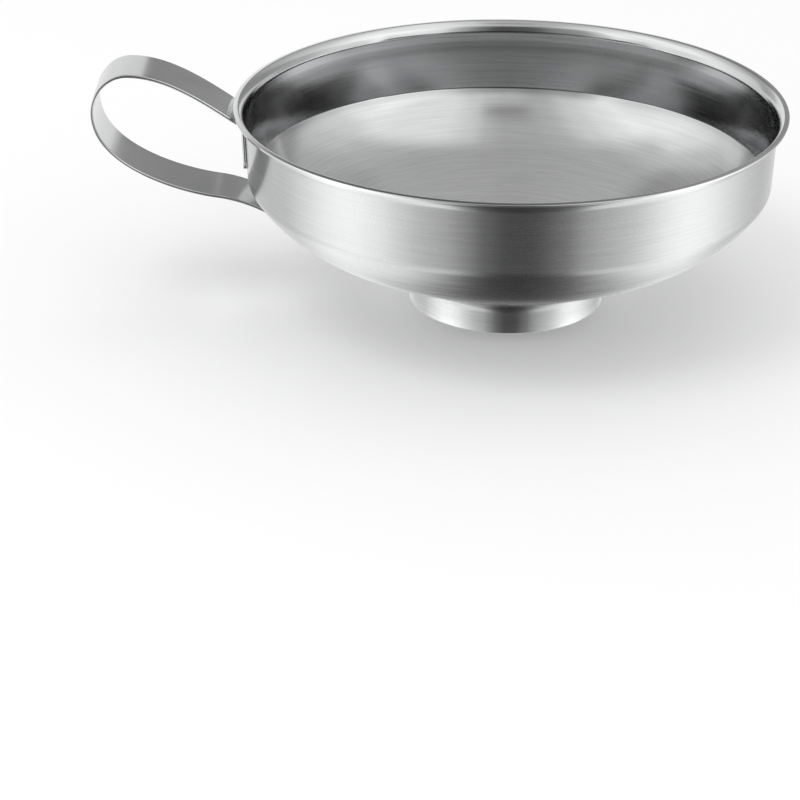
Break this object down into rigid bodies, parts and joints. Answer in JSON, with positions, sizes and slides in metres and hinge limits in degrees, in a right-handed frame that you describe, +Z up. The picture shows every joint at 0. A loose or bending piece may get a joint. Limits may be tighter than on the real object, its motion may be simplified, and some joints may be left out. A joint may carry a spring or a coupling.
{
  "type": "canning funnel",
  "caption": "Wide-mouth stainless canning funnel: flared rim, upright wall, domed floor, short straight spout, and a looped strap handle welded to one side.",
  "frame": {"origin": "centre of the spout's lower end, in the plane that the funnel stands on", "axes": "+Z up along the funnel's axis, towards the rim; the handle points along -X"},
  "size_m": [0.1729, 0.138, 0.0615],
  "materials": {
    "bowl_steel": "fine brushed around the axis, bright",
    "strap_steel": "smooth satin",
    "weld_steel": "dull"
  },
  "bodies": {
    "root": {"funnel_bowl": "bowl_steel", "handle_strap": "strap_steel", "upper_weld_1": "weld_steel", "upper_weld_2": "weld_steel", "lower_weld_1": "weld_steel", "lower_weld_2": "weld_steel"}
  },
  "joints": []
}
